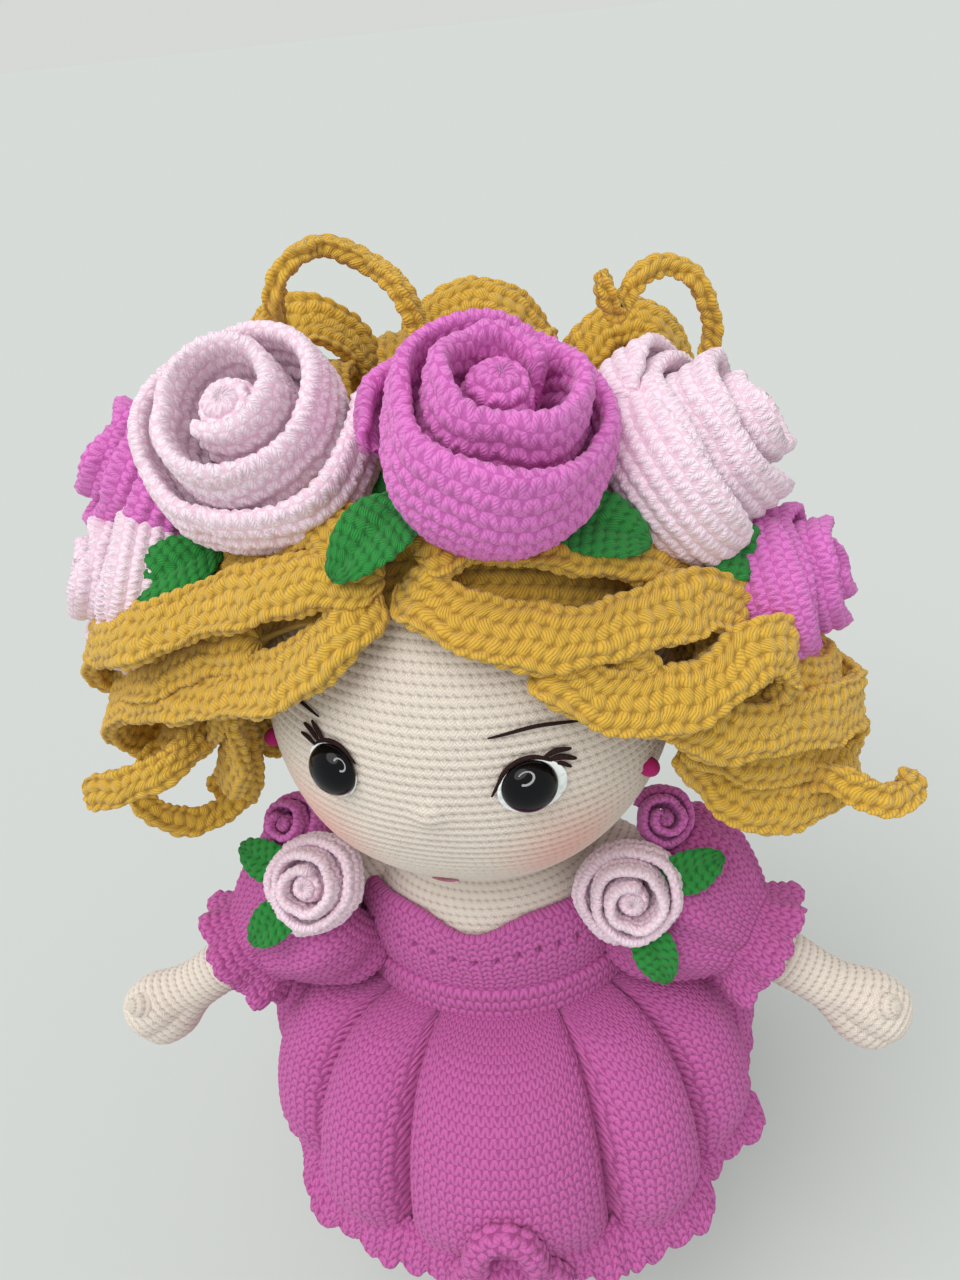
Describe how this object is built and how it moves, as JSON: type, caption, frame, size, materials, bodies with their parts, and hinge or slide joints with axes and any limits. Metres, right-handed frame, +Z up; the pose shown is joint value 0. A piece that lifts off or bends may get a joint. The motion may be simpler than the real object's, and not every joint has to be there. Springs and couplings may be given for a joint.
{
  "type": "crocheted doll",
  "caption": "Crocheted doll with a round head, safety eyes, piled hair in flat locks, a rose garland, puffed sleeves and a pleated skirt with a frilled hem.",
  "frame": {"origin": "on the floor under the middle of the doll", "axes": "+Z up along the body, -Y the way the doll faces, +X towards the doll's left arm"},
  "size_m": [0.2208, 0.1543, 0.3448],
  "materials": {
    "skin_yarn": "matt crocheted cream yarn",
    "dress_yarn": "matt crocheted magenta yarn",
    "magenta_rose_yarn": "matt crocheted orchid pink yarn",
    "pale_rose_yarn": "matt crocheted pale pink yarn",
    "leaf_yarn": "matt crocheted green yarn",
    "hair_yarn": "matt crocheted golden yarn",
    "shoe_yarn": "matt crocheted cream yarn",
    "white_felt": "white felt",
    "eye_plastic": "gloss black",
    "washer_plastic": "plain moulded white",
    "earring_bead": "crimson bead",
    "dowel_wood": "plain sanded"
  },
  "bodies": {
    "body": {"torso": "skin_yarn", "neck_dowel": "dowel_wood", "left_leg": "skin_yarn", "right_leg": "skin_yarn", "left_shoe": "shoe_yarn", "right_shoe": "shoe_yarn", "bodice": "dress_yarn", "waistband": "dress_yarn", "skirt": "dress_yarn", "hem_frill": "dress_yarn"},
    "left_arm_body": {"left_arm": "skin_yarn", "left_sleeve": "dress_yarn", "left_cuff": "dress_yarn", "left_shoulder_rose": "pale_rose_yarn", "left_shoulder_leaf_upper": "leaf_yarn", "left_shoulder_leaf_lower": "leaf_yarn"},
    "right_arm_body": {"right_arm": "skin_yarn", "right_sleeve": "dress_yarn", "right_cuff": "dress_yarn", "right_shoulder_rose": "pale_rose_yarn", "right_shoulder_leaf_upper": "leaf_yarn", "right_shoulder_leaf_lower": "leaf_yarn"},
    "head_body": {"head": "skin_yarn", "left_eye": "eye_plastic", "right_eye": "eye_plastic", "left_eye_washer": "washer_plastic", "right_eye_washer": "washer_plastic", "left_eye_felt": "white_felt", "right_eye_felt": "white_felt", "left_earring": "earring_bead", "right_earring": "earring_bead", "hair_cap": "hair_yarn", "lock_fringe_left_upper": "hair_yarn", "lock_fringe_left_middle": "hair_yarn", "lock_fringe_left_lower": "hair_yarn", "lock_side_left_curl": "hair_yarn", "lock_side_left_tail": "hair_yarn", "lock_fringe_right_upper": "hair_yarn", "lock_fringe_right_middle": "hair_yarn", "lock_side_right_hanging": "hair_yarn", "lock_side_right_tail": "hair_yarn", "lock_side_right_ring": "hair_yarn", "lock_top_arch_right": "hair_yarn", "lock_top_arch_left": "hair_yarn", "lock_top_curl_right": "hair_yarn", "lock_top_curl_middle": "hair_yarn", "lock_top_curl_left": "hair_yarn", "lock_back_upper_row": "hair_yarn", "lock_back_lower_row": "hair_yarn"},
    "crown_body": {"crown_band": "leaf_yarn", "crown_rose_right_low": "pale_rose_yarn", "crown_rose_right_mid": "magenta_rose_yarn", "crown_rose_right_high": "pale_rose_yarn", "crown_rose_centre": "magenta_rose_yarn", "crown_rose_left_high": "pale_rose_yarn", "crown_rose_left_mid": "magenta_rose_yarn", "crown_leaf_right_low": "leaf_yarn", "crown_leaf_right_high": "leaf_yarn", "crown_leaf_left_high": "leaf_yarn", "crown_leaf_left_low": "leaf_yarn"}
  },
  "joints": [
    {"name": "head_turn", "type": "hinge", "parent": "body", "child": "head_body", "pos_m": [0, 0, 0.195], "axis": [0, 0, 1], "range_deg": [-15, 25]},
    {"name": "left_arm_raise", "type": "hinge", "parent": "body", "child": "left_arm_body", "pos_m": [0.032, -0.002, 0.185], "axis": [0, -1, 0], "range_deg": [-5, 20], "stiffness_Nm_per_rad": 0.05},
    {"name": "right_arm_raise", "type": "hinge", "parent": "body", "child": "right_arm_body", "pos_m": [-0.032, -0.002, 0.185], "axis": [0, 1, 0], "range_deg": [-5, 20], "stiffness_Nm_per_rad": 0.05},
    {"name": "crown_lift", "type": "slide", "parent": "head_body", "child": "crown_body", "axis": [0, 0, 1], "range_m": [0, 0.06]}
  ]
}
